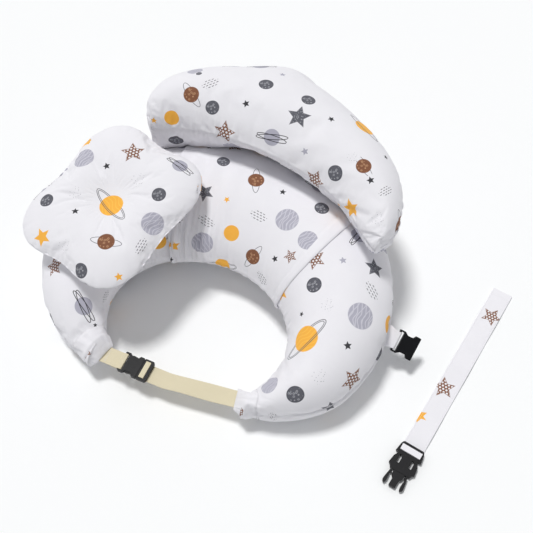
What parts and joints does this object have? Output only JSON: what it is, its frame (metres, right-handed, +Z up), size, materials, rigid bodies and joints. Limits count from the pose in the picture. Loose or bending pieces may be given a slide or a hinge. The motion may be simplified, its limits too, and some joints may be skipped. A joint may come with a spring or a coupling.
{
  "type": "nursing pillow",
  "caption": "U-shaped feeding pillow with a raised back bolster in a wrap sleeve, a dented head pillow, a buckled waist belt and a loose buckle strap.",
  "frame": {"origin": "on the underside of the sleeve round the pillow's back, on the U's plane of symmetry", "axes": "+X along the belt to the right, +Y to the back where the bolster is, +Z up; the U opens towards -Y"},
  "size_m": [0.7669, 0.5856, 0.2539],
  "materials": {
    "printed_cotton": "white cotton with a small space print",
    "stuffing": "white polyester fibre fill",
    "belt_webbing": "cream woven webbing",
    "buckle_plastic": "black moulded plastic, satin",
    "zip_metal": "satin"
  },
  "bodies": {
    "pillow": {"main_cover": "printed_cotton", "main_filling": "stuffing", "wrap_sleeve": "printed_cotton", "zip_tape": "belt_webbing", "zip_teeth": "zip_metal", "left_tip_cuff": "printed_cotton", "right_tip_cuff": "printed_cotton", "waist_female_buckle": "buckle_plastic", "waist_webbing_left": "belt_webbing", "waist_webbing_right": "belt_webbing", "side_tab": "printed_cotton"},
    "waist_male": {"waist_male_buckle": "buckle_plastic", "waist_webbing_loop": "belt_webbing"},
    "waist_prong_front": {"waist_prong_a": "buckle_plastic"},
    "waist_prong_rear": {"waist_prong_b": "buckle_plastic"},
    "side_buckle": {"side_female_buckle": "buckle_plastic"},
    "strap": {"strap_fabric": "printed_cotton", "strap_loop": "printed_cotton", "strap_male_buckle": "buckle_plastic"},
    "strap_prong_right": {"strap_prong_a": "buckle_plastic"},
    "strap_prong_left": {"strap_prong_b": "buckle_plastic"},
    "bolster": {"bolster_cover": "printed_cotton", "bolster_filling": "stuffing"},
    "head_pillow": {"head_pillow_cover": "printed_cotton", "head_pillow_filling": "stuffing"},
    "zip_slider": {"zip_slider": "zip_metal"},
    "zip_pull": {"zip_pull": "zip_metal"}
  },
  "joints": [
    {"name": "waist_release", "type": "slide", "parent": "pillow", "child": "waist_male", "axis": [1, 0, 0], "range_m": [0, 0.026]},
    {"name": "waist_prong_front_squeeze", "type": "hinge", "parent": "waist_male", "child": "waist_prong_front", "pos_m": [-0.05411, -0.34348, 0.045], "axis": [0, 0, 1], "range_deg": [-12, 0]},
    {"name": "waist_prong_rear_squeeze", "type": "hinge", "parent": "waist_male", "child": "waist_prong_rear", "pos_m": [-0.05411, -0.32052, 0.045], "axis": [0, 0, 1], "range_deg": [0, 12]},
    {"name": "side_swing", "type": "hinge", "parent": "pillow", "child": "side_buckle", "pos_m": [0.301, -0.1255, 0.056], "axis": [-0.1242, -0.8463, -0.518], "range_deg": [-40, 50], "stiffness_Nm_per_rad": 0.05},
    {"name": "strap_lift", "type": "slide", "parent": "pillow", "child": "strap", "axis": [0, 0, 1], "range_m": [0, 0.15]},
    {"name": "strap_prong_right_squeeze", "type": "hinge", "parent": "strap", "child": "strap_prong_right", "pos_m": [0.38979, -0.3158, 0.00598], "axis": [0, 0, 1], "range_deg": [-8, 0], "stiffness_Nm_per_rad": 0.3},
    {"name": "strap_prong_left_squeeze", "type": "hinge", "parent": "strap", "child": "strap_prong_left", "pos_m": [0.36475, -0.31192, 0.00598], "axis": [0, 0, 1], "range_deg": [0, 8], "stiffness_Nm_per_rad": 0.3},
    {"name": "bolster_lift", "type": "slide", "parent": "pillow", "child": "bolster", "axis": [0, 0, 1], "range_m": [0, 0.1]},
    {"name": "head_pillow_lift", "type": "slide", "parent": "pillow", "child": "head_pillow", "axis": [0, 0, 1], "range_m": [0, 0.1]},
    {"name": "zip_run", "type": "hinge", "parent": "pillow", "child": "zip_slider", "pos_m": [-0.05994, -0.15127, 0.0705], "axis": [0, 0, 1], "range_deg": [-31, 0]},
    {"name": "zip_pull_swing", "type": "hinge", "parent": "zip_slider", "child": "zip_pull", "pos_m": [-0.3052, -0.11313, 0.0715], "axis": [0.1537, 0.9881, 0], "range_deg": [0, 80]}
  ],
  "couplings": [
    {"joint": "waist_prong_front_squeeze", "follows": "waist_release", "rad_per_m": -7.47},
    {"joint": "waist_prong_rear_squeeze", "follows": "waist_release", "rad_per_m": 7.47}
  ]
}
